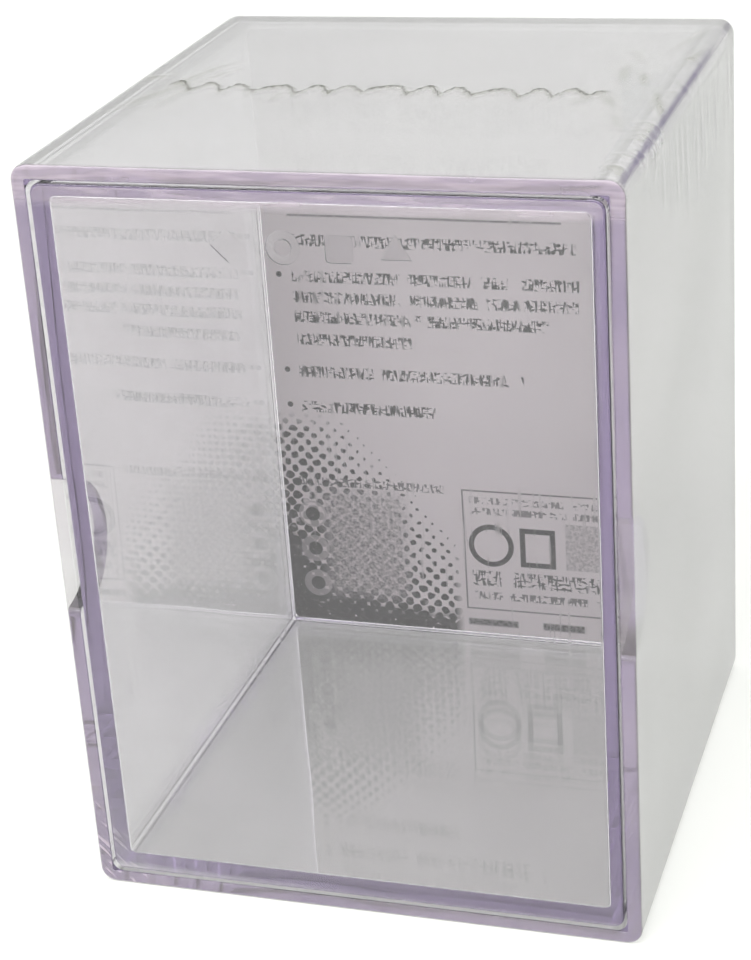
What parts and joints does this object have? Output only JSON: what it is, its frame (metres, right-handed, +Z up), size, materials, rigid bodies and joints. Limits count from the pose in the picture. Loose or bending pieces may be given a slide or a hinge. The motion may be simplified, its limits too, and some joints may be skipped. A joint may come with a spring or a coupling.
{
  "type": "card deck box",
  "caption": "Clear two-piece telescoping deck box for trading cards, with half-round thumb notches, a printed insert card and a slit shrink-film wrap.",
  "frame": {"origin": "centre of the foot: the middle of the lowest face of the box, which stands on a narrow side", "axes": "+Z up along the long side; -Y out of the base's plate, which is the front; +X to the right of someone who faces the plate"},
  "size_m": [0.0748, 0.075, 0.1016],
  "materials": {
    "base_clear": "clear moulded polystyrene, faintly violet along its edges",
    "lid_clear": "clear moulded polystyrene, faintly violet along its edges",
    "printed_card": "coated white card with black and grey halftone print",
    "shrink_film": "thin glossy shrink film, slightly milky, with heat wrinkles"
  },
  "bodies": {
    "lid": {"lid": "lid_clear", "film_wrap": "shrink_film"},
    "base": {"base": "base_clear", "film_front": "shrink_film"},
    "insert": {"insert_card": "printed_card"}
  },
  "joints": [
    {"name": "base_draw", "type": "slide", "parent": "lid", "child": "base", "axis": [0, -1, 0], "range_m": [0, 0.11]},
    {"name": "insert_shift", "type": "slide", "parent": "base", "child": "insert", "axis": [0, -1, 0], "range_m": [0, 0.068]}
  ]
}
